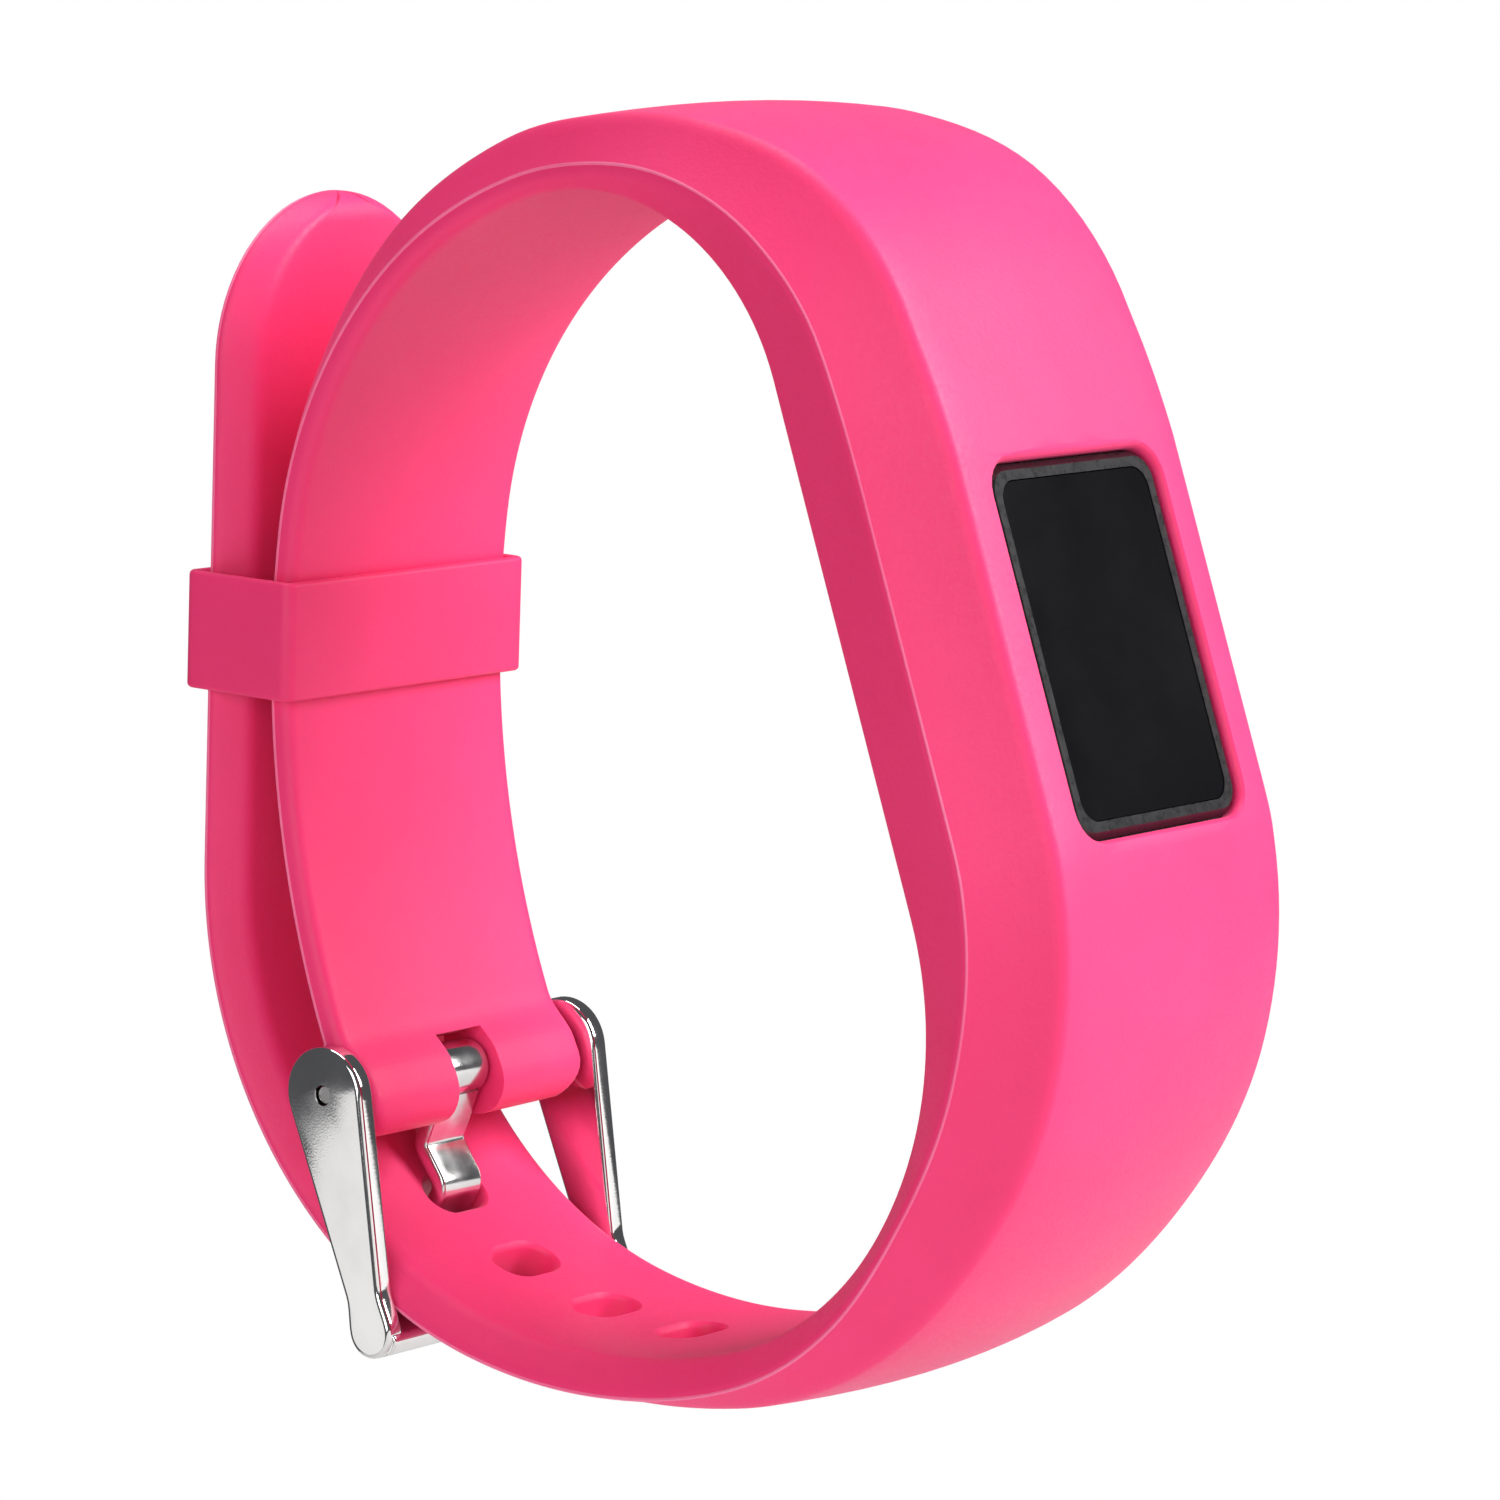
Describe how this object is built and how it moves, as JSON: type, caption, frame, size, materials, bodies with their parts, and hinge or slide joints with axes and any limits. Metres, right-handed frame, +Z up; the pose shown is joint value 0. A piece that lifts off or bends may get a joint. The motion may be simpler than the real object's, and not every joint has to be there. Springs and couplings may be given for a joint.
{
  "type": "fitness tracker band",
  "caption": "Wrist-worn activity tracker: a moulded silicone band with a screen pod in its housing, closed by a tang buckle and a sliding keeper.",
  "frame": {"origin": "on the wrist's axis, in the middle of the wrist opening, at the height of the screen's centre", "axes": "+X along the wrist's axis, the screen faces -Y, +Z up along the screen's long side towards the buckle strap"},
  "size_m": [0.0204, 0.0518, 0.0621],
  "materials": {
    "silicone_band": "matte moulded silicone",
    "silicone_keeper": "matte moulded silicone",
    "polished_steel": "polished stainless steel",
    "bar_steel": "drawn stainless wire",
    "black_casing": "fine satin black polycarbonate",
    "tinted_lens": "polished, tinted black",
    "gasket_foam": "black foam tape",
    "display_panel": "dark display cell",
    "flex_film": "amber polyimide film",
    "circuit_board": "green solder mask",
    "chip_package": "moulded epoxy",
    "sensor_lid": "tinned metal lid",
    "antenna_ceramic": "fired ceramic block",
    "chassis_plastic": "glass-filled nylon",
    "battery_foil": "laminated foil pouch",
    "motor_steel": "pressed can",
    "motor_weight": "sintered tungsten weight",
    "cover_plastic": "fine spark-eroded black polycarbonate",
    "seal_rubber": "black silicone ring",
    "screw_steel": "blackened steel",
    "contact_gold": "gold-plated"
  },
  "bodies": {
    "band": {"silicone_band": "silicone_band", "spring_bar_tube": "bar_steel", "spring_bar_spring": "bar_steel"},
    "keeper": {"keeper_loop": "silicone_keeper"},
    "buckle": {"buckle_frame": "polished_steel"},
    "tongue": {"buckle_tongue": "polished_steel"},
    "bar_tip_left": {"spring_bar_tip_left": "bar_steel"},
    "bar_tip_right": {"spring_bar_tip_right": "bar_steel"},
    "pod": {"pod_front_shell": "black_casing", "display_window": "tinted_lens", "display_gasket": "gasket_foam", "display_panel": "display_panel", "display_flex": "flex_film", "circuit_board": "circuit_board", "processor_chip": "chip_package", "radio_chip": "chip_package", "motion_sensor": "sensor_lid", "clock_crystal": "sensor_lid", "chip_antenna": "antenna_ceramic", "inner_chassis": "chassis_plastic", "battery_pouch": "battery_foil", "battery_foam_pad": "gasket_foam", "vibration_motor_can": "motor_steel", "rear_cover": "cover_plastic", "rear_cover_seal": "seal_rubber", "rear_cover_screws": "screw_steel", "charging_contacts": "contact_gold"},
    "motor_rotor": {"vibration_motor_rotor": "motor_weight"}
  },
  "joints": [
    {"name": "keeper_slide", "type": "hinge", "parent": "band", "child": "keeper", "pos_m": [0, -0.0304, -0.00548], "axis": [1, 0, 0], "range_deg": [-2.5, 2.5]},
    {"name": "buckle_pivot", "type": "hinge", "parent": "band", "child": "buckle", "pos_m": [0, 0.01716, -0.01022], "axis": [1, 0, 0], "range_deg": [0, 1.5]},
    {"name": "tongue_pivot", "type": "hinge", "parent": "buckle", "child": "tongue", "pos_m": [0, 0.01716, -0.01022], "axis": [1, 0, 0], "range_deg": [0, 1]},
    {"name": "bar_tip_left_press", "type": "slide", "parent": "band", "child": "bar_tip_left", "axis": [1, 0, 0], "range_m": [0, 0.0012], "stiffness_N_per_m": 300, "deforming": ["spring_bar_spring"]},
    {"name": "bar_tip_right_press", "type": "slide", "parent": "band", "child": "bar_tip_right", "axis": [-1, 0, 0], "range_m": [0, 0.0012], "stiffness_N_per_m": 300, "deforming": ["spring_bar_spring"]},
    {"name": "pod_release", "type": "slide", "parent": "band", "child": "pod", "axis": [0, 1, 0], "range_m": [0, 0.012]},
    {"name": "motor_spin", "type": "hinge", "parent": "pod", "child": "motor_rotor", "pos_m": [0, -0.02, 0.0065], "axis": [0, 1, 0], "continuous": true}
  ]
}
